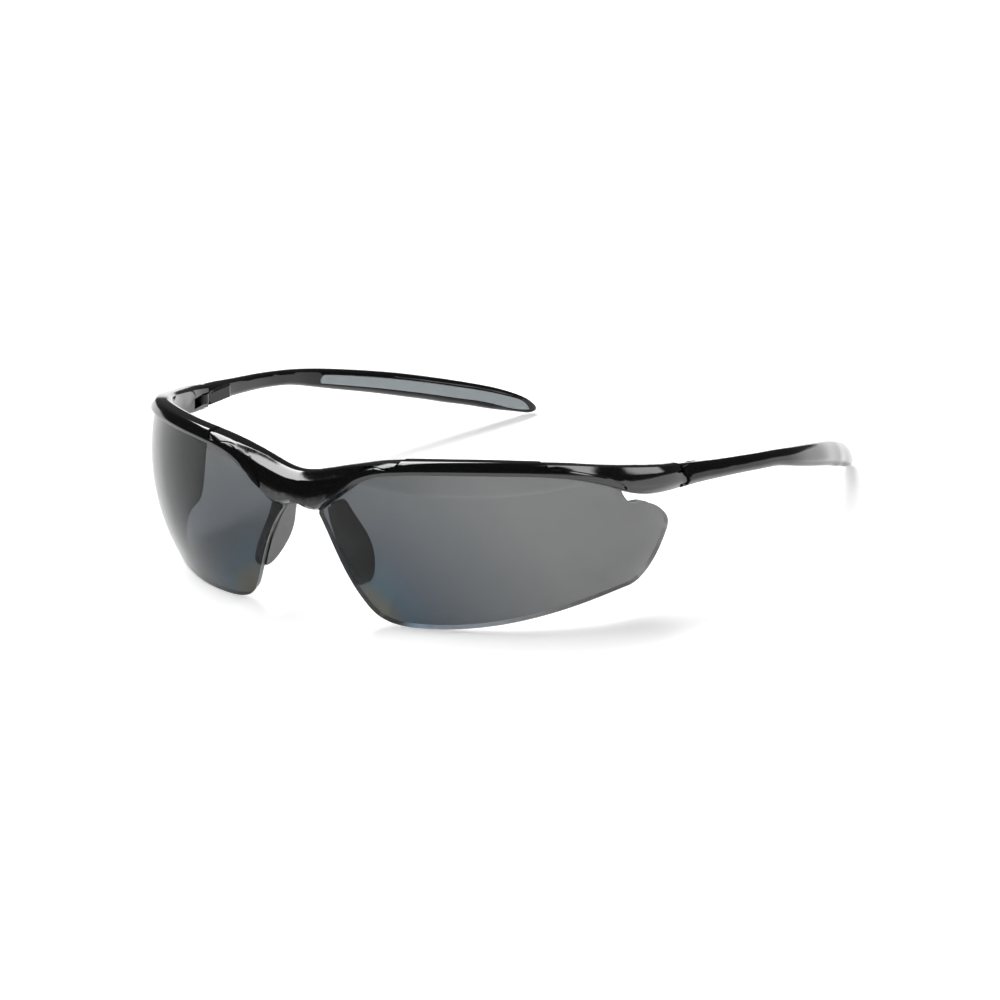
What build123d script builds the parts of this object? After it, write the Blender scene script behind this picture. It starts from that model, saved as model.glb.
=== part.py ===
from build123d import *
import os
from math import sin, cos, radians, sqrt

# Wrap-round safety glasses, half-rimless. Millimetres.
# +X is the wearer's left, the front faces -Y, the temples run back along +Y, +Z is up.
# Everything is drawn on the +X side and mirrored.

# Lenses: two spherical shells, each about its own centre
LENS_X = 14.85          # sphere centre, sideways from the middle
LENS_Y = 40.9           # sphere centre, behind the bridge
LENS_Z = 25.9           # sphere centre height
LENS_R = 48.3           # front surface radius
LENS_T = 2.0            # lens thickness
LENS_AXIS = 39.0        # degrees from straight ahead to the middle of one lens
CONE_REACH = (12.0, 64.0)   # cones drawn through a lens start and end this far from its centre

# Lens outline seen along the lens axis: sideways and upward from the sphere centre
LENS_OUTLINE = [
    [(-37.6, 0.0), (-33.4, -10.0), (-30.4, -16.0), (-27.6, -20.2)],
    [(-27.6, -20.2), (-25.4, -22.4), (-21.5, -24.0), (-16.0, -24.3)],
    [(-16.0, -24.3), (-5.6, -23.7), (7.2, -21.8), (19.4, -19.4), (28.0, -18.0)],
    [(28.0, -18.0), (31.3, -16.7), (34.4, -13.2), (37.0, -8.2)],
    [(37.0, -8.2), (37.75, -5.4), (36.9, -3.1), (34.6, -0.5), (32.4, 0.95)],
    [(32.4, 0.95), (30.2, 1.7), (28.1, 2.3), (26.9, 3.9), (26.0, 7.2)],
    [(26.0, 7.2), (17.5, 11.0), (8.0, 12.8), (-6.7, 13.5), (-21.0, 13.3), (-29.0, 12.0)],
    [(-29.0, 12.0), (-35.4, 8.0), (-37.6, 0.0)],
    ]

# Brow frame slices have eight corners, in order: lower front, front below and above the
# middle, top front, top back, back above and below the middle, lower back
# Rail stations: turn about the lens centre, top, bottom, reach in front of the lens,
# reach behind it, how far the lower edge stands forward, and height of the top front bevel
RAIL = [
    (-3.0, 37.6, 32.2, 1.7, 4.2, 1.9, 1.9),
    (3.0, 38.8, 35.8, 1.5, 4.3, 1.2, 1.0),
    (11.0, 39.8, 37.2, 1.4, 4.0, 1.1, 0.5),
    (23.0, 40.3, 37.7, 1.3, 3.5, 1.1, 0.4),
    (37.0, 40.2, 37.5, 1.2, 3.4, 1.0, 0.4),
    (51.0, 39.1, 36.5, 0.9, 3.4, 0.8, 0.4),
    (59.0, 38.3, 35.1, 0.6, 3.4, 0.6, 0.6),
    (66.0, 37.2, 33.1, 0.6, 3.4, 0.3, 1.0),
    (73.0, 36.1, 30.5, 0.7, 3.4, 0.0, 1.4),
    (80.0, 35.0, 28.5, 1.0, 3.3, -0.3, 1.7),
    ]
SEAM_Y = 46.6           # rear end of the endpiece's outer skin
# Endpiece stations: distance back, top, bottom, outer face, inner face, lower edge inset
ENDPIECE = [
    (37.0, 34.2, 27.7, 64.5, 59.9, 1.5),
    (42.0, 33.3, 27.3, 65.1, 60.8, 1.5),
    (SEAM_Y + 1.0, 32.3, 27.0, 65.9, 61.2, 1.5),
    ]
# Bridge stations: distance from the middle, then the corners as distance forward and height
BRIDGE = [
    (0.0, [
        (10.1, 29.8), (9.8, 31.5), (9.0, 33.3), (7.3, 34.7),
        (4.5, 34.8), (3.4, 33.8), (4.2, 30.4), (6.4, 28.4),
        ]),
    (4.4, [
        (10.1, 27.2), (9.6, 30.2), (8.8, 33.6), (7.0, 35.4),
        (4.1, 35.5), (3.0, 34.4), (3.9, 27.8), (6.2, 25.4),
        ]),
    (8.2, [
        (9.6, 29.4), (9.1, 32.2), (8.4, 34.7), (6.4, 36.5),
        (3.4, 36.6), (2.4, 35.6), (3.6, 30.0), (5.6, 28.6),
        ]),
    ]
CORNER = 0.2            # share of each side that a slice's corner is bevelled over
BELLY = 0.36            # share of a slice's height up to its widest point
BROW = 0.26             # share of a slice's height taken by the slope at its top
# Raised band over each lens: step height, its edge at either end and its lowest height, seen
# along the lens axis. A groove runs along that edge, and ends early on the nose side
BAND_STEP = 0.35
BAND_NOSE = [
    (-20.2, 20.0), (-20.6, 14.4), (-21.6, 12.9), (-24.5, 12.2),
    (-28.5, 11.2), (-32.0, 9.0), (-34.5, 5.0),
    ]
BAND_OUTER = [
    (27.5, 5.2), (22.5, 8.6), (17.5, 10.4), (12.8, 11.5),
    (10.4, 12.1), (9.4, 13.4), (9.1, 20.0),
    ]
BAND_LOW = 2.0
NOSE_GROOVE_POINTS = 5
GROOVE_WIDTH = 0.45
GROOVE_DEPTH = 0.4

# Slanted seam on the outer side: distance back and height down the line
SEAM_LINE = [(41.6, 36.0), (44.2, 31.7), (SEAM_Y - 0.8, 29.7), (SEAM_Y, 24.0)]
SEAM_GAP = 0.2          # hairline between the endpiece and the temple
SKIN_X = 64.9           # the endpiece's outer skin lies outside this

# Hinges: one vertical screw each side
HINGE_X = 62.2
HINGE_Y = 42.6
PIN_R = 0.70
PIN_HOLE_R = 0.76
HEAD_R = 1.20
HEAD_LOW = 27.65
HEAD_TOP = 28.1
DRIVE_R = 0.45          # blind hole for the driver, up into the head
DRIVE_TOP = 27.9
PIN_TOP = 32.5
KNUCKLE_R = 2.0
TONGUE_LOW = 29.1       # the temple's knuckle fills the space between these heights
TONGUE_TOP = 31.3
EAR_GAP = 0.15          # clearance above and below the knuckle
SWEEP = 0.35            # clearance round the knuckle
SHOULDER = 2.2          # from the screw back to the temple's shoulder
# Rib on the temple's inner side that carries the knuckle
RIB_X = (61.0, 64.5)
RIB_END = 54.0
RIB_Z = (28.2, 30.8)
RIB_ROUND = 2.0

# Nose pads: leaf in a plane that holds the front-to-back direction and leans outward below
PAD_X = 5.1             # nose side of the pad at its top
PAD_Z = 27.2            # height of the pad's top
PAD_LEAN = 23.3         # degrees from upright
PAD_T = 1.5
PAD_EDGE = 0.5          # rounding of the pad's nose side
CARRIER_T = 0.8
FLANGE_T = 1.3
FLANGE_STRIP = [
    [(-36.7, 1.5), (-35.4, -4.6), (-33.3, -9.4), (-30.9, -14.2)],
    [(-30.9, -14.2), (-30.2, -15.2), (-29.5, -14.2)],
    [(-29.5, -14.2), (-32.0, -8.8), (-34.1, -4.2), (-35.5, 1.5)],
    [(-35.5, 1.5), (-36.7, 1.5)],
    ]
PAD_LEAF = [
    [(-1.8, 0.0), (0.2, -0.2), (1.4, -3.1), (2.9, -7.2), (3.6, -10.8), (3.1, -13.7), (1.8, -16.1)],
    [(1.8, -16.1), (0.3, -17.7), (-1.9, -18.4), (-3.7, -17.3), (-4.3, -15.4)],
    [(-4.3, -15.4), (-4.6, -11.8), (-4.5, -6.6), (-3.8, -2.5), (-1.8, 0.0)],
    ]

# Grips: soft inlay on the inner side of each temple's rear half
GRIP_DEPTH = 1.2
GRIP_PROUD = 0.2
GRIP_GAP = 0.18         # dark line round the inlay
GRIP_RIM = 0.27         # share of the blade's height left above and below the inlay
GRIP_NOSE = (92.1, 22.1)
GRIP_START = (93.2, 23.1, 21.0)     # distance back, top and bottom just behind its rounded front end
GRIP_TAIL = (151.3, 3.0)

# Temple from hinge to tip: distance back, middle of thickness, top, bottom, thickness
TEMPLE = [
    (40.5, 63.4, 33.25, 27.55, 5.2),
    (47.0, 63.9, 32.30, 27.20, 4.8),
    (53.0, 64.8, 31.35, 26.80, 4.1),
    (60.0, 65.6, 30.20, 26.10, 3.6),
    (68.0, 66.3, 29.00, 25.15, 3.3),
    (76.0, 66.6, 27.75, 24.00, 3.2),
    (84.0, 66.4, 26.40, 22.45, 3.4),
    (91.0, 65.7, 25.00, 20.40, 3.7),
    (98.0, 64.2, 23.45, 18.30, 4.0),
    (106.0, 62.2, 21.50, 16.00, 4.2),
    (115.0, 59.3, 19.15, 13.30, 4.3),
    (124.0, 56.0, 16.50, 10.50, 4.3),
    (132.0, 53.0, 13.95, 7.90, 4.2),
    (140.0, 49.8, 11.20, 5.30, 4.0),
    (146.0, 47.4, 8.75, 3.45, 3.7),
    (150.0, 45.8, 6.70, 2.30, 3.2),
    (152.6, 44.7, 4.85, 1.75, 2.5),
    (154.0, 44.1, 3.30, 2.05, 1.3),
    ]


def lens_reach(height):
    """Horizontal radius of the lens front surface at a height."""
    return sqrt(LENS_R ** 2 - (height - LENS_Z) ** 2)


def edges_through(pieces):
    """One edge per list of points: a straight line for two, a smooth curve for more."""
    edges = []
    for points in pieces:
        if len(points) == 2:
            edges.append(Line(*points))
        else:
            edges.append(Spline(*points))
    return edges


def lens_cone(pieces):
    """Solid cone from the lens centre through an outline seen along the lens axis."""
    a = radians(LENS_AXIS)
    faces = []
    for reach in CONE_REACH:
        middle = (LENS_X + reach * sin(a), LENS_Y - reach * cos(a), LENS_Z)
        plane = Plane(origin=middle, x_dir=(cos(a), sin(a), 0), z_dir=(sin(a), -cos(a), 0))
        rings = []
        for points in pieces:
            ring = []
            for u, v in points:
                depth = sqrt(LENS_R ** 2 - u * u - v * v)
                ring.append((u * reach / depth, v * reach / depth))
            rings.append(ring)
        faces.append(plane * make_face(edges_through(rings)))
    return loft(faces, ruled=True)


def make_lens():
    shell = Sphere(LENS_R) - Sphere(LENS_R - LENS_T)
    return (Pos(LENS_X, LENS_Y, LENS_Z) * shell) & lens_cone(LENS_OUTLINE)


def soften(points):
    """Two points in place of each corner, which gives the slice a narrow bevel there."""
    result = []
    for before, corner, after in zip(points[-1:] + points[:-1], points, points[1:] + points[:1]):
        result.append(tuple(c + CORNER * (b - c) for b, c in zip(before, corner)))
        result.append(tuple(c + CORNER * (a - c) for a, c in zip(after, corner)))
    return result


def fair(rings):
    """The same run of rings with unevenness from one to the next ironed out."""
    result = [rings[0]]
    for before, ring, after in zip(rings, rings[1:], rings[2:]):
        evened = []
        for p, q, r in zip(before, ring, after):
            evened.append(tuple((a + 4 * b + c) / 6 for a, b, c in zip(p, q, r)))
        result.append(evened)
    result.append(rings[-1])
    return result


def skin(rings):
    """Solid through rings of corners, smooth along its length."""
    outlines = []
    for ring in rings:
        outlines.append(Wire.make_polygon([Vector(*point) for point in soften(ring)], close=True))
    return Solid.make_loft(outlines)


def grown(corners, front, rear):
    """Slice corners with the front and top moved out by front and the back moved back by rear."""
    outward = (1.0, 1.0, 1.0, 0.3, 0.0, 0.0, 0.0, 0.0)
    upward = (1.0, 0.0, 0.3, 1.0, 1.0, 0.0, 0.0, 1.0)
    backward = (0.0, 0.0, 0.0, 0.0, 1.0, 1.0, 1.0, 1.0)
    result = []
    for (reach, height), out, up, back in zip(corners, outward, upward, backward):
        result.append((reach + front * out - rear * back, height + front * up))
    return result


def rail_ring(side, front_grow, rear_grow, angle, top, low, front, back, keel, bevel):
    """Corners of the brow rail's slice, in an upright plane through the lens centre."""
    high = top - low
    reach = lens_reach(top)
    low_reach = lens_reach(low)
    corners = [
        (low_reach + keel, low),
        ((reach + low_reach) / 2 + front + 0.3, low + BELLY * high),
        (reach + front, top - bevel),
        (reach + max(front - bevel, 0.2), top),
        (reach - back + 0.9, top - 0.05),
        (reach - back, top - 0.8),
        (low_reach - back + 0.2, low + 0.7),
        (low_reach - back + 1.1, low + 0.1),
        ]
    a = radians(angle)
    corners = grown(corners, front_grow, rear_grow)
    return [(side * (LENS_X + r * sin(a)), LENS_Y - r * cos(a), z) for r, z in corners]


def end_ring(side, front_grow, rear_grow, back_y, top, low, outer, inner, keel):
    """Corners of the endpiece's slice, in a plane across the temple direction."""
    high = top - low
    corners = [
        (outer - keel, low),
        (outer + 0.1, low + BELLY * high),
        (outer - 0.3, top - BROW * high),
        (outer - 1.1, top),
        (inner + 0.9, top - 0.05),
        (inner, top - 0.8),
        (inner + 0.2, low + 0.7),
        (inner + 1.1, low + 0.1),
        ]
    return [(side * x, back_y, z) for x, z in grown(corners, front_grow, rear_grow)]


def bridge_ring(x, front_grow, rear_grow, corners):
    """Corners of the bridge's slice across the nose."""
    return [(x, -forward, z) for forward, z in grown(corners, front_grow, rear_grow)]


def make_rail(front_grow, rear_grow):
    """Brow rail, bridge and both endpieces in one sweep."""
    grow = (front_grow, rear_grow)
    rings = [end_ring(1, *grow, *s) for s in reversed(ENDPIECE)]
    rings += [rail_ring(1, *grow, *s) for s in reversed(RAIL)]
    rings += [bridge_ring(x, *grow, corners) for x, corners in reversed(BRIDGE)]
    rings += [bridge_ring(-x, *grow, corners) for x, corners in BRIDGE[1:]]
    rings += [rail_ring(-1, *grow, *s) for s in RAIL]
    rings += [end_ring(-1, *grow, *s) for s in ENDPIECE]
    return skin(fair(rings))


def band_cone():
    """Solid cone from the lens centre through the band's outline."""
    low_nose = (BAND_NOSE[-1][0], BAND_LOW)
    low_outer = (BAND_OUTER[0][0], BAND_LOW)
    pieces = [BAND_NOSE, [BAND_NOSE[-1], low_nose], [low_nose, low_outer], [low_outer, BAND_OUTER[0]]]
    pieces += [BAND_OUTER, [BAND_OUTER[-1], BAND_NOSE[0]]]
    return lens_cone(pieces)


def groove_strip(points):
    """Narrow strip along a line seen along the lens axis, pushed outward from the lens centre."""
    half = GROOVE_WIDTH / 2
    upper = []
    lower = []
    ahead = points[1:] + points[-1:]
    behind = points[:1] + points[:-1]
    for (u, v), (u0, v0), (u1, v1) in zip(points, behind, ahead):
        length = sqrt((u1 - u0) ** 2 + (v1 - v0) ** 2)
        step_u = -half * (v1 - v0) / length
        step_v = half * (u1 - u0) / length
        upper.append((u + step_u, v + step_v))
        lower.insert(0, (u - step_u, v - step_v))
    return lens_cone([upper, [upper[-1], lower[0]], lower, [lower[-1], upper[0]]])


def pin(radius, low, high):
    column = Cylinder(radius, high - low, align=(Align.CENTER, Align.CENTER, Align.MIN))
    return Pos(HINGE_X, HINGE_Y, low) * column


def block(x0, x1, y0, y1, z0, z1):
    return Pos((x0 + x1) / 2, (y0 + y1) / 2, (z0 + z1) / 2) * Box(x1 - x0, y1 - y0, z1 - z0)


def seam_space(gap):
    """Everything behind the slanted seam between the endpiece and the temple."""
    plane = Plane(origin=(56.0, 0, 0), x_dir=(0, 1, 0), z_dir=(1, 0, 0))
    points = [(y + gap, z) for y, z in SEAM_LINE]
    points += [(60.0, SEAM_LINE[-1][1]), (60.0, SEAM_LINE[0][1])]
    return extrude(plane * make_face(Polyline(*points, close=True)), 16.0)


def hinge_space():
    """What is cut from an endpiece: the temple's room, the knuckle slot and the screw hole."""
    space = seam_space(0) & block(SKIN_X, 80.0, 30.0, 70.0, 20.0, 40.0)
    # the inner part stops behind the ears, which are rounded about the screw
    space += block(50.0, SKIN_X, HINGE_Y + KNUCKLE_R, 60.0, 20.0, 40.0)
    corners = block(HINGE_X - 5, HINGE_X, HINGE_Y, SEAM_Y, 20.0, 40.0)
    space += corners - pin(KNUCKLE_R, 15.0, 45.0)
    # slot for the knuckle, open to the inner side
    low = TONGUE_LOW - EAR_GAP
    top = TONGUE_TOP + EAR_GAP
    space += block(55.0, HINGE_X, 37.6, 60.0, low, top) + pin(KNUCKLE_R + SWEEP, low, top)
    space += block(55.0, SKIN_X, HINGE_Y, 60.0, low, top)
    space += pin(PIN_R, 26.0, PIN_TOP)
    space += pin(HEAD_R, 24.0, HEAD_TOP)
    return space


def make_screw():
    head = pin(HEAD_R, HEAD_LOW, HEAD_TOP)
    shaft = pin(PIN_R, HEAD_TOP - 0.1, PIN_TOP)
    drive = pin(DRIVE_R, HEAD_LOW - 0.5, DRIVE_TOP)
    return head + shaft - drive


def temple_ring(back_y, middle, top, low, thick):
    """Corners of the temple arm's slice across the front-to-back direction."""
    half = thick / 2
    high = top - low
    corners = [
        (0.35 * half, low),
        (half, low + BELLY * high),
        (0.74 * half, top - BROW * high),
        (0.25 * half, top),
        (-0.55 * half, top - 0.03 * high),
        (-half, top - 0.18 * high),
        (-half, low + 0.22 * high),
        (-0.5 * half, low + 0.03 * high),
        ]
    return [(middle + x, back_y, z) for x, z in corners]


def make_temple():
    arm = skin([temple_ring(*s) for s in TEMPLE])
    shoulder = HINGE_Y + SHOULDER
    room = seam_space(SEAM_GAP) & block(SKIN_X, 80.0, 30.0, 70.0, 20.0, 40.0)
    room += block(50.0, SKIN_X - SEAM_GAP, shoulder, 60.0, 20.0, 40.0)
    room += block(30.0, 75.0, 55.0, 170.0, -10.0, 45.0)
    arm &= room
    arm -= block(50.0, SKIN_X + SEAM_GAP, 30.0, shoulder, 20.0, 40.0)
    rib = block(*RIB_X, shoulder, RIB_END, *RIB_Z)
    rib = fillet(rib.edges().filter_by(Axis.Z).group_by(Axis.Y)[-1].sort_by(Axis.X)[0], RIB_ROUND)
    tongue = pin(KNUCKLE_R, TONGUE_LOW, TONGUE_TOP)
    tongue += block(HINGE_X - 1.3, HINGE_X + KNUCKLE_R, HINGE_Y, shoulder + 0.5, TONGUE_LOW, TONGUE_TOP)
    arm += rib
    arm += tongue
    return arm - pin(PIN_HOLE_R, 20.0, 40.0)


def grip_field(margin):
    """Side outline of the inlay, grown by margin and pushed through sideways."""
    start, start_top, start_low = GRIP_START
    upper = [(start, start_top + margin)]
    lower = [(start, start_low - margin)]
    for back_y, middle, top, low, thick in TEMPLE:
        if 98 <= back_y <= 140:
            rim = GRIP_RIM * (top - low) - margin
            upper.append((back_y, top - rim))
            lower.append((back_y, low + rim))
    nose = (GRIP_NOSE[0] - margin, GRIP_NOSE[1])
    tail = (GRIP_TAIL[0] + margin, GRIP_TAIL[1] - margin)
    edges = [
        Spline(*upper, (146.0 + margin, 7.2), (149.9 + margin, 5.0), tail),
        Spline(tail, (149.5, 3.3 - margin), *reversed(lower)),
        ThreePointArc(lower[0], nose, upper[0]),
        ]
    plane = Plane(origin=(30.0, 0, 0), x_dir=(0, 1, 0), z_dir=(1, 0, 0))
    return extrude(plane * make_face(edges), 45.0)


def grip_layer(arm):
    """Layer on the arm's inner side, from the pocket floor to just above the surface."""
    return Pos(-GRIP_PROUD, 0, 0) * arm - Pos(GRIP_DEPTH, 0, 0) * arm


def pad_plane(shift):
    """Plane of the pad, moved outward by shift from its nose side."""
    lean = radians(PAD_LEAN)
    origin = (PAD_X + shift * cos(lean), 0, PAD_Z + shift * sin(lean))
    return Plane(origin=origin, x_dir=(0, 1, 0), z_dir=(cos(lean), 0, sin(lean)))


def make_pad():
    plane = pad_plane(0)
    leaf = extrude(plane * make_face(edges_through(PAD_LEAF)), PAD_T)
    nose_side = leaf.faces().sort_by(Axis(plane.origin, plane.z_dir))[0]
    leaf = fillet(nose_side.edges(), PAD_EDGE)
    return leaf - lens_ball(0)


def lens_ball(inset):
    """Ball out to the lens's back surface, for trimming what stands against it; inverse is kept."""
    outside = Pos(0, 0, 20) * Box(60, 80, 80)
    return outside - Pos(LENS_X, LENS_Y, LENS_Z) * Sphere(LENS_R - LENS_T - inset)


def make_carrier():
    """Stiff plate behind the pad with a flange along the lens's nose edge."""
    outer = LENS_R - LENS_T
    shell = Pos(LENS_X, LENS_Y, LENS_Z) * (Sphere(outer) - Sphere(outer - FLANGE_T))
    flange = shell & lens_cone(FLANGE_STRIP)
    plate = extrude(pad_plane(PAD_T) * make_face(edges_through(PAD_LEAF)), CARRIER_T)
    return flange + (plate - lens_ball(0))


def both(solid):
    return solid, mirror(solid, about=Plane.YZ)


def main():
    os.makedirs("parts", exist_ok=True)
    lens = make_lens()
    plain_arm = make_temple()
    layer = grip_layer(plain_arm)
    grip = layer & grip_field(0)
    arm = plain_arm - (layer & grip_field(GRIP_GAP))
    frame = make_rail(0, 0)
    # the band's own back lies inside the rail, and the core's back stands out behind it
    band = make_rail(BAND_STEP, -0.5) & band_cone()
    core = make_rail(-GROOVE_DEPTH, 1.0)
    for extra in both(band):
        frame += extra
    for cut in both(hinge_space()) + both(lens):
        frame -= cut
    for line in (BAND_OUTER, BAND_NOSE[:NOSE_GROOVE_POINTS]):
        for cut in both(groove_strip(line)):
            frame -= cut - core
    pad = make_pad() - frame
    carrier = make_carrier() - frame - pad
    screws = both(make_screw())
    nodes = {"brow_frame": frame, "hinge_screws": Compound(children=list(screws))}
    pairs = {"lens": lens, "temple": arm, "temple_grip": grip, "nose_pad": pad, "nose_pad_carrier": carrier}
    for name, solid in pairs.items():
        left, right = both(solid)
        nodes[name + "_left"] = left
        nodes[name + "_right"] = right
    boxes = [solid.bounding_box() for solid in nodes.values()]
    front_y = min(b.min.Y for b in boxes)
    back_y = max(b.max.Y for b in boxes)
    low_z = min(b.min.Z for b in boxes)
    shift = Pos(0, -(front_y + back_y) / 2, -low_z)
    for name, solid in nodes.items():
        export_step(shift * solid, "parts/" + name + ".step")
        print(name, len(solid.solids()), round(solid.volume, 1))
    print("shift", -(front_y + back_y) / 2, -low_z, "depth", back_y - front_y)


main()
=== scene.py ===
import bpy
from math import radians, sin, cos
from mathutils import Matrix, Vector


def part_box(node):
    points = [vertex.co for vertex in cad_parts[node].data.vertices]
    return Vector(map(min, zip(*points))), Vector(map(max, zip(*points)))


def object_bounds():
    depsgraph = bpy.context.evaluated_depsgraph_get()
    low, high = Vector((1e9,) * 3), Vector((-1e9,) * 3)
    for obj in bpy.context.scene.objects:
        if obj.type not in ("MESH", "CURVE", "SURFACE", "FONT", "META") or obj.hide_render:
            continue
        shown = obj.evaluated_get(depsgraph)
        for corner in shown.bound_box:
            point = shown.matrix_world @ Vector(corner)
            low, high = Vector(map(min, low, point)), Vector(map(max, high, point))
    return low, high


# Half-rimless wrap-round safety glasses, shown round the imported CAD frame. Metres.
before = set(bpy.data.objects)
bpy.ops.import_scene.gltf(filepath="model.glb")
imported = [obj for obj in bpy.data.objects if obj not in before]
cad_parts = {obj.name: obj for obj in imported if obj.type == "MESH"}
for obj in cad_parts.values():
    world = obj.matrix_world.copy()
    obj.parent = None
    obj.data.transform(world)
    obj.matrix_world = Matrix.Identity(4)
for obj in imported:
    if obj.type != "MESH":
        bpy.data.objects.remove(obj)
cad_low, cad_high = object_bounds()

SIDES = ("left", "right")

# Camera, about the point that the glasses are seen round
CAM_AZIMUTH = 33.36
CAM_ELEVATION = 16.93
CAM_ROLL = -1.01
CAM_DISTANCE = 1.142
CAM_LENS = 195.45
CAM_SENSOR = 36.0
CAM_AIM = Vector((0.04695, -0.07199, 0.03216))

# Lens: centre of the left lens's sphere and its lowest corner at the nose, from the lens's own box
lens_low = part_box("lens_left")[0]
LENS_CENTRE = Vector((0.01485, lens_low[1] + 0.0483, lens_low[2] + 0.0243))
LENS_CORNER = LENS_CENTRE + Vector((-0.0031, -0.04235, -0.0230))
LENS_SHINE = 1.30       # refractive index, low so that the room hardly mirrors in it
LENS_BLUR = 0.001       # most roughness of its faces
# Tint along the distance from that corner, which wanders a little
TINT_REACH = 0.045
TINT_WANDER = 0.0012
TINT_STOPS = (
    (0.00, (0.055, 0.055, 0.055)),
    (0.09, (0.070, 0.066, 0.056)),
    (0.16, (0.070, 0.074, 0.061)),
    (0.24, (0.046, 0.070, 0.090)),
    (0.42, (0.065, 0.075, 0.087)),
    (0.66, (0.094, 0.102, 0.107)),
    (1.00, (0.137, 0.138, 0.138)),
    )
SLANT_TINT = 0.45       # share of light lost when seen edge on
# Cut edges: paler and satin, where the surface turns from the sphere's radius (cosines)
EDGE_TURN = (0.75, 0.6)
EDGE_TINT = (0.30, 0.31, 0.32)
EDGE_ROUGHNESS = 0.3

# Gloss black plastics: refractive index of each
FRAME_SHINE = 1.64
TEMPLE_SHINE = 1.36

# Mesh shading: facets are joined within a hair, and only sharper turns stay crisp
JOIN_REACH = 0.000002
SHARP_TURN = radians(38)

# Noise values mostly lie in this span
NOISE_SPAN = (0.3, 0.7)

# Soft boxes, each as spans of direction across (X), along (Y) and up (Z): one long one
# overhead, two narrow upright ones to the right
PANELS = (
    ((-0.605, -0.32), (-0.50, 0.64), (0.27, 1.10)),
    ((0.45, 1.00), (0.08, 0.23), (0.34, 0.90)),
    ((0.45, 1.00), (0.46, 0.58), (0.20, 0.42)),
    )
PANEL_EDGE = 0.02
PANEL_GLOW = (8.5, 5.0, 4.0)
# Low light from the front right, brightest at the table's edge
FRONT_GLOW = 1.3
FRONT_HEIGHT = 0.35
FRONT_ACROSS = (-0.1, 0.25)
FRONT_ALONG = (0.0, 0.2)
# The white sheet runs on past the horizon, up to this height
SWEEP_GLOW = 1.2
SWEEP_HEIGHT = 0.04
# Room: dim all round, a little less so behind the glasses
ROOM_GLOW = 0.035
BACKDROP_GLOW = 0.09
BACKDROP_ALONG = (0.1, 0.8)

# Table: a lit white sheet, so that shadows stay faint
FLOOR_HALF = 6.0
FLOOR_GAP = 0.0002      # below the glasses
FLOOR_GLOW = 0.50
FLOOR_PAINT = ((0.90, 0.90, 0.90), (0.92, 0.92, 0.92))


# ---------- node helpers ----------

def new_material(name):
    material = bpy.data.materials.new(name)
    material.use_nodes = True
    tree = material.node_tree
    shader = tree.nodes["Principled BSDF"]
    return material, tree, shader


def coordinates(tree, kind="Object"):
    return tree.nodes.new("ShaderNodeTexCoord").outputs[kind]


def noise(tree, scale, detail=4.0, roughness=0.55):
    node = tree.nodes.new("ShaderNodeTexNoise")
    node.inputs["Scale"].default_value = scale
    node.inputs["Detail"].default_value = detail
    node.inputs["Roughness"].default_value = roughness
    tree.links.new(coordinates(tree), node.inputs["Vector"])
    return node.outputs["Fac"]


def remap(tree, value, start, end, low=0.0, high=1.0, curve="LINEAR"):
    """Goes from low to high as the value goes from start to end, and holds outside that."""
    node = tree.nodes.new("ShaderNodeMapRange")
    node.interpolation_type = curve
    node.inputs["From Min"].default_value = start
    node.inputs["From Max"].default_value = end
    node.inputs["To Min"].default_value = low
    node.inputs["To Max"].default_value = high
    tree.links.new(value, node.inputs["Value"])
    return node.outputs["Result"]


def fade(tree, value, start, end, low=0.0, high=1.0):
    """The same change with soft ends."""
    return remap(tree, value, start, end, low, high, "SMOOTHSTEP")


def spread(tree, value, low, high):
    """Maps noise to a range."""
    return remap(tree, value, *NOISE_SPAN, low, high)


def calc(tree, operation, first, second=0.0):
    """One sum on node values or plain numbers."""
    node = tree.nodes.new("ShaderNodeMath")
    node.operation = operation
    for socket, value in zip(node.inputs, (first, second)):
        if isinstance(value, (int, float)):
            socket.default_value = value
        else:
            tree.links.new(value, socket)
    return node.outputs[0]


def vector_calc(tree, operation, output, *values):
    """One sum on node vectors or fixed ones; output names the socket that holds the answer."""
    node = tree.nodes.new("ShaderNodeVectorMath")
    node.operation = operation
    for socket, value in zip(node.inputs, values):
        if isinstance(value, Vector):
            socket.default_value = value
        else:
            tree.links.new(value, socket)
    return node.outputs[output]


def scaled(tree, vector, share):
    """The vector times a node value."""
    node = tree.nodes.new("ShaderNodeVectorMath")
    node.operation = "SCALE"
    tree.links.new(vector, node.inputs[0])
    tree.links.new(share, node.inputs["Scale"])
    return node.outputs["Vector"]


def separate(tree, vector):
    node = tree.nodes.new("ShaderNodeSeparateXYZ")
    tree.links.new(vector, node.inputs[0])
    return node.outputs


def combine(tree, x, y, z):
    node = tree.nodes.new("ShaderNodeCombineXYZ")
    for socket, value in zip(node.inputs, (x, y, z)):
        tree.links.new(value, socket)
    return node.outputs[0]


def blend_colours(tree, share, low, high):
    """Mixes two colours, each a node value or fixed numbers."""
    node = tree.nodes.new("ShaderNodeMix")
    node.data_type = "RGBA"
    for socket, colour in (("A", low), ("B", high)):
        if isinstance(colour, tuple):
            node.inputs[socket].default_value = (*colour, 1)
        else:
            tree.links.new(colour, node.inputs[socket])
    tree.links.new(share, node.inputs["Factor"])
    return node.outputs["Result"]


def colour_stops(tree, value, stops):
    """Colour along a value, from (place, colour) stops."""
    ramp = tree.nodes.new("ShaderNodeValToRGB")
    elements = ramp.color_ramp.elements
    while len(elements) < len(stops):
        elements.new(1.0)
    for element, (place, colour) in zip(elements, stops):
        element.position = place
        element.color = (*colour, 1)
    tree.links.new(value, ramp.inputs[0])
    return ramp.outputs["Color"]


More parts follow.
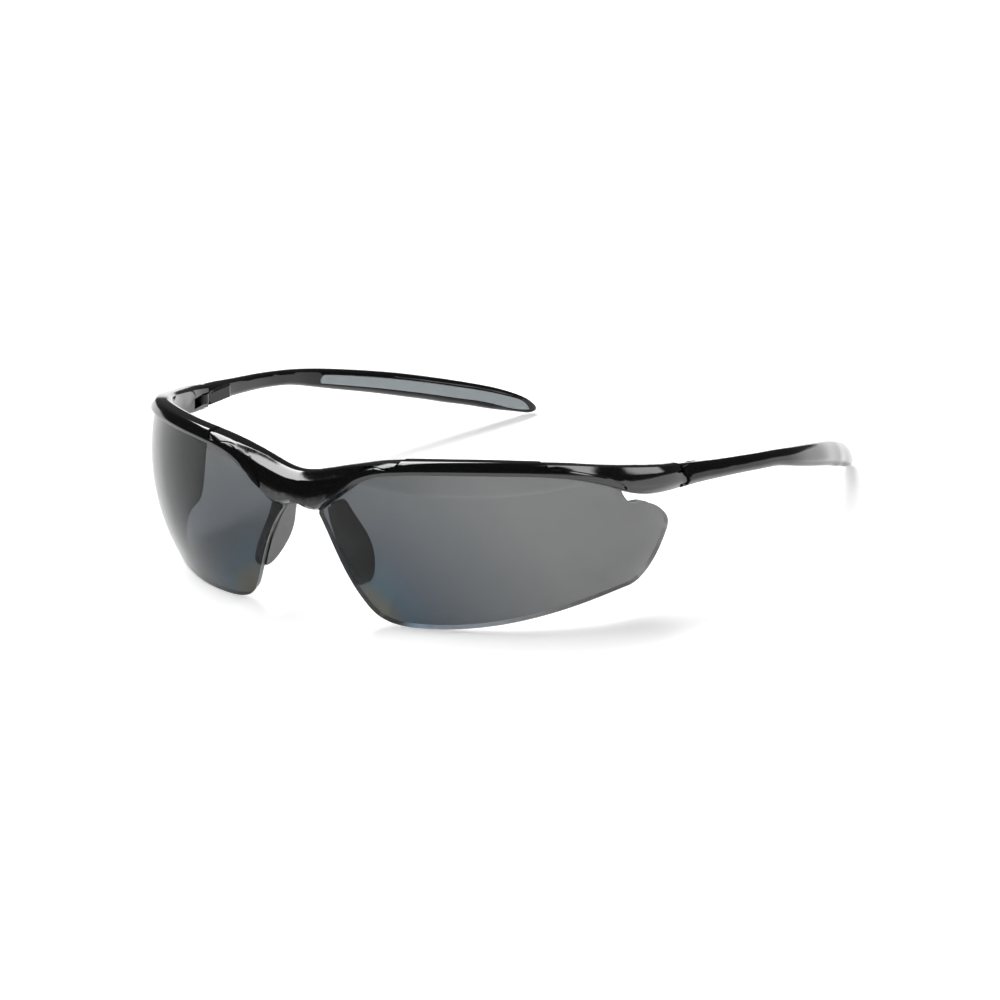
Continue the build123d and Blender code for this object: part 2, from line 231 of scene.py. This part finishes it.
def bump(tree, height, distance):
    node = tree.nodes.new("ShaderNodeBump")
    node.inputs["Distance"].default_value = distance
    node.inputs["Strength"].default_value = 1.0
    tree.links.new(height, node.inputs["Height"])
    return node.outputs["Normal"]


# ---------- opaque materials ----------

def grained(name, colour, roughness, relief):
    """Opaque material whose colour, roughness and relief each follow a noise of their own.

    colour: noise scale, darkest, palest. roughness: noise scale, least, most.
    relief: noise scale, detail, depth.
    """
    material, tree, shader = new_material(name)
    colour_scale, darkest, palest = colour
    roughness_scale, least, most = roughness
    relief_scale, detail, depth = relief
    paint = blend_colours(tree, noise(tree, colour_scale), darkest, palest)
    tree.links.new(paint, shader.inputs["Base Color"])
    blur = spread(tree, noise(tree, roughness_scale), least, most)
    tree.links.new(blur, shader.inputs["Roughness"])
    normal = bump(tree, noise(tree, relief_scale, detail), depth)
    tree.links.new(normal, shader.inputs["Normal"])
    return material, shader


def glossy_black(name, shine):
    """Polished black plastic with faint flow unevenness; shine is its refractive index."""
    material, shader = grained(
        name,
        colour=(900.0, (0.002, 0.002, 0.0025), (0.005, 0.005, 0.0055)),
        roughness=(1500.0, 0.05, 0.11),
        relief=(160.0, 2.0, 0.00001))
    shader.inputs["IOR"].default_value = shine
    return material


def grip_rubber():
    material, shader = grained(
        "grey_grip_rubber",
        colour=(300.0, (0.25, 0.285, 0.30), (0.29, 0.32, 0.335)),
        roughness=(800.0, 0.38, 0.5),
        relief=(5000.0, 6.0, 0.00003))
    return material


def pad_rubber():
    material, shader = grained(
        "black_pad_rubber",
        colour=(500.0, (0.008, 0.008, 0.009), (0.013, 0.013, 0.014)),
        roughness=(500.0, 0.26, 0.36),
        relief=(500.0, 2.0, 0.000003))
    return material


def black_nylon():
    material, shader = grained(
        "black_nylon",
        colour=(600.0, (0.008, 0.008, 0.009), (0.014, 0.014, 0.015)),
        roughness=(1100.0, 0.12, 0.22),
        relief=(2000.0, 4.0, 0.000006))
    return material


def screw_steel():
    material, shader = grained(
        "screw_steel",
        colour=(2500.0, (0.42, 0.42, 0.43), (0.58, 0.58, 0.58)),
        roughness=(4000.0, 0.22, 0.4),
        relief=(6000.0, 6.0, 0.00001))
    shader.inputs["Metallic"].default_value = 1.0
    return material


# ---------- lens ----------

def mirrored(tree, vector):
    """The vector with its X made positive, so both sides share one pattern."""
    x, y, z = separate(tree, vector)
    return combine(tree, calc(tree, "ABSOLUTE", x), y, z)


def face_tint(tree, place):
    """Tint of the lens's faces, densest low at the nose."""
    offset = vector_calc(tree, "SUBTRACT", "Vector", place, LENS_CORNER)
    reach = vector_calc(tree, "LENGTH", "Value", offset)
    wander = spread(tree, noise(tree, 60.0, 2.0), -TINT_WANDER, TINT_WANDER)
    along = remap(tree, calc(tree, "ADD", reach, wander), 0.0, TINT_REACH)
    return colour_stops(tree, along, TINT_STOPS)


def edge_share(tree, place):
    """1 on the cut edges, 0 on the faces."""
    side = calc(tree, "SIGN", separate(tree, coordinates(tree))[0])
    x, y, z = separate(tree, coordinates(tree, "Normal"))
    facing = combine(tree, calc(tree, "MULTIPLY", x, side), y, z)
    offset = vector_calc(tree, "SUBTRACT", "Vector", place, LENS_CENTRE)
    radius = vector_calc(tree, "NORMALIZE", "Vector", offset)
    turn = vector_calc(tree, "DOT_PRODUCT", "Value", facing, radius)
    return fade(tree, calc(tree, "ABSOLUTE", turn), *EDGE_TURN)


def tinted_lens():
    """Grey polarised polycarbonate with faint stress colours at the nose and pale cut edges."""
    material, tree, shader = new_material("grey_polarised_lens")
    place = mirrored(tree, coordinates(tree))
    edge = edge_share(tree, place)
    tint = blend_colours(tree, edge, face_tint(tree, place), EDGE_TINT)
    slant = tree.nodes.new("ShaderNodeLayerWeight").outputs["Facing"]
    kept = calc(tree, "SUBTRACT", 1.0, calc(tree, "MULTIPLY", slant, SLANT_TINT))
    tree.links.new(scaled(tree, tint, kept), shader.inputs["Base Color"])
    satin = calc(tree, "MULTIPLY", edge, EDGE_ROUGHNESS)
    polish = spread(tree, noise(tree, 90.0, 2.0), 0.0, LENS_BLUR)
    tree.links.new(calc(tree, "ADD", satin, polish), shader.inputs["Roughness"])
    shader.inputs["Transmission Weight"].default_value = 1.0
    shader.inputs["IOR"].default_value = LENS_SHINE
    return material


def dress_nodes():
    """Gives every CAD node its material; the two sides share theirs."""
    finishes = {
        "brow_frame": glossy_black("gloss_black_frame", FRAME_SHINE),
        "hinge_screws": screw_steel(),
        }
    paired = {
        "temple": glossy_black("gloss_black_temple", TEMPLE_SHINE),
        "lens": tinted_lens(),
        "temple_grip": grip_rubber(),
        "nose_pad": pad_rubber(),
        "nose_pad_carrier": black_nylon(),
        }
    for side in SIDES:
        for piece, material in paired.items():
            finishes[piece + "_" + side] = material
    for node, material in finishes.items():
        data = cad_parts[node].data
        data.materials.clear()
        data.materials.append(material)


# ---------- edges ----------

def polish_group():
    """Joins the mesh's facets and marks only edges sharper than SHARP_TURN as sharp."""
    group = bpy.data.node_groups.new("polished_edges", "GeometryNodeTree")
    group.interface.new_socket("Geometry", in_out="INPUT", socket_type="NodeSocketGeometry")
    group.interface.new_socket("Geometry", in_out="OUTPUT", socket_type="NodeSocketGeometry")
    nodes, links = group.nodes, group.links
    start, end = nodes.new("NodeGroupInput"), nodes.new("NodeGroupOutput")
    plain = nodes.new("GeometryNodeRemoveAttribute")
    plain.inputs["Name"].default_value = "custom_normal"
    join = nodes.new("GeometryNodeMergeByDistance")
    join.inputs["Distance"].default_value = JOIN_REACH
    smooth = nodes.new("GeometryNodeSetShadeSmooth")
    angle = nodes.new("GeometryNodeInputMeshEdgeAngle")
    sharp = nodes.new("FunctionNodeCompare")
    sharp.operation = "GREATER_THAN"
    sharp.inputs[1].default_value = SHARP_TURN
    crisp = nodes.new("GeometryNodeSetShadeSmooth")
    crisp.domain = "EDGE"
    crisp.inputs["Shade Smooth"].default_value = False
    links.new(start.outputs[0], plain.inputs["Geometry"])
    links.new(plain.outputs["Geometry"], join.inputs["Geometry"])
    links.new(join.outputs["Geometry"], smooth.inputs["Geometry"])
    links.new(smooth.outputs["Geometry"], crisp.inputs["Geometry"])
    links.new(angle.outputs["Unsigned Angle"], sharp.inputs[0])
    links.new(sharp.outputs["Result"], crisp.inputs["Selection"])
    links.new(crisp.outputs["Geometry"], end.inputs[0])
    return group


def polish(node, group):
    """Shades a CAD node so that its narrow bevels read as rounded edges."""
    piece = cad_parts[node]
    piece.modifiers.new("polished_edges", "NODES").node_group = group
    weight = piece.modifiers.new("weighted", "WEIGHTED_NORMAL")
    weight.keep_sharp = True


# ---------- studio ----------

def make_floor():
    corners = [(x * FLOOR_HALF, y * FLOOR_HALF, 0) for x, y in ((-1, -1), (1, -1), (1, 1), (-1, 1))]
    mesh = bpy.data.meshes.new("floor")
    mesh.from_pydata(corners, [], [(0, 1, 2, 3)])
    floor = bpy.data.objects.new("floor", mesh)
    floor.location.z = cad_low[2] - FLOOR_GAP
    bpy.context.scene.collection.objects.link(floor)
    material, tree, shader = new_material("pale_floor")
    paint = blend_colours(tree, noise(tree, 3.0, 2.0), *FLOOR_PAINT)
    tree.links.new(paint, shader.inputs["Base Color"])
    shader.inputs["Emission Color"].default_value = (1, 1, 1, 1)
    shader.inputs["Emission Strength"].default_value = FLOOR_GLOW
    shader.inputs["Roughness"].default_value = 0.9
    mesh.materials.append(material)


def inside(tree, value, span):
    """1 between two limits, 0 outside, with soft edges."""
    low, high = span
    rise = fade(tree, value, low - PANEL_EDGE, low + PANEL_EDGE)
    fall = fade(tree, value, high - PANEL_EDGE, high + PANEL_EDGE, 1.0, 0.0)
    return calc(tree, "MULTIPLY", rise, fall)


def soft_box(tree, direction, spans, strength):
    """Glow of one soft box."""
    panel = strength
    for value, span in zip(direction, spans):
        panel = calc(tree, "MULTIPLY", panel, inside(tree, value, span))
    return panel


def front_light(tree, direction):
    """Low light that fills the front right quarter."""
    across, along, up = direction
    low = fade(tree, up, 0.0, FRONT_HEIGHT, FRONT_GLOW, 0.0)
    right = calc(tree, "MULTIPLY", low, fade(tree, across, *FRONT_ACROSS))
    return calc(tree, "MULTIPLY", right, fade(tree, along, *FRONT_ALONG, 1.0, 0.0))


def make_world():
    """Dim room with soft boxes, a low light from the front right and a white horizon."""
    world = bpy.data.worlds.new("studio")
    world.use_nodes = True
    tree = world.node_tree
    direction = separate(tree, coordinates(tree, "Generated"))
    across, along, up = direction
    glow = fade(tree, along, *BACKDROP_ALONG, ROOM_GLOW, BACKDROP_GLOW)
    lights = [front_light(tree, direction), fade(tree, up, 0.0, SWEEP_HEIGHT, SWEEP_GLOW, 0.0)]
    for spans, strength in zip(PANELS, PANEL_GLOW):
        lights.append(soft_box(tree, direction, spans, strength))
    for light in lights:
        glow = calc(tree, "ADD", glow, light)
    background = tree.nodes["Background"]
    tree.links.new(glow, background.inputs["Strength"])
    background.inputs["Color"].default_value = (1, 1, 1, 1)
    bpy.context.scene.world = world


def make_camera():
    azimuth, elevation = radians(CAM_AZIMUTH), radians(CAM_ELEVATION)
    back = Vector((sin(azimuth) * cos(elevation), -cos(azimuth) * cos(elevation), sin(elevation)))
    right = Vector((cos(azimuth), sin(azimuth), 0))
    up = back.cross(right)
    turn = Matrix((right, up, back)).transposed() @ Matrix.Rotation(radians(CAM_ROLL), 3, "Z")
    data = bpy.data.cameras.new("camera")
    data.sensor_width = CAM_SENSOR
    data.lens = CAM_LENS
    camera = bpy.data.objects.new("camera", data)
    bpy.context.scene.collection.objects.link(camera)
    camera.matrix_world = Matrix.Translation(CAM_AIM + back * CAM_DISTANCE) @ turn.to_4x4()
    bpy.context.scene.camera = camera


dress_nodes()
edges = polish_group()
for node in ("brow_frame", "temple_left", "temple_right"):
    polish(node, edges)
make_floor()
make_world()
make_camera()
bpy.context.scene.view_settings.view_transform = "Standard"
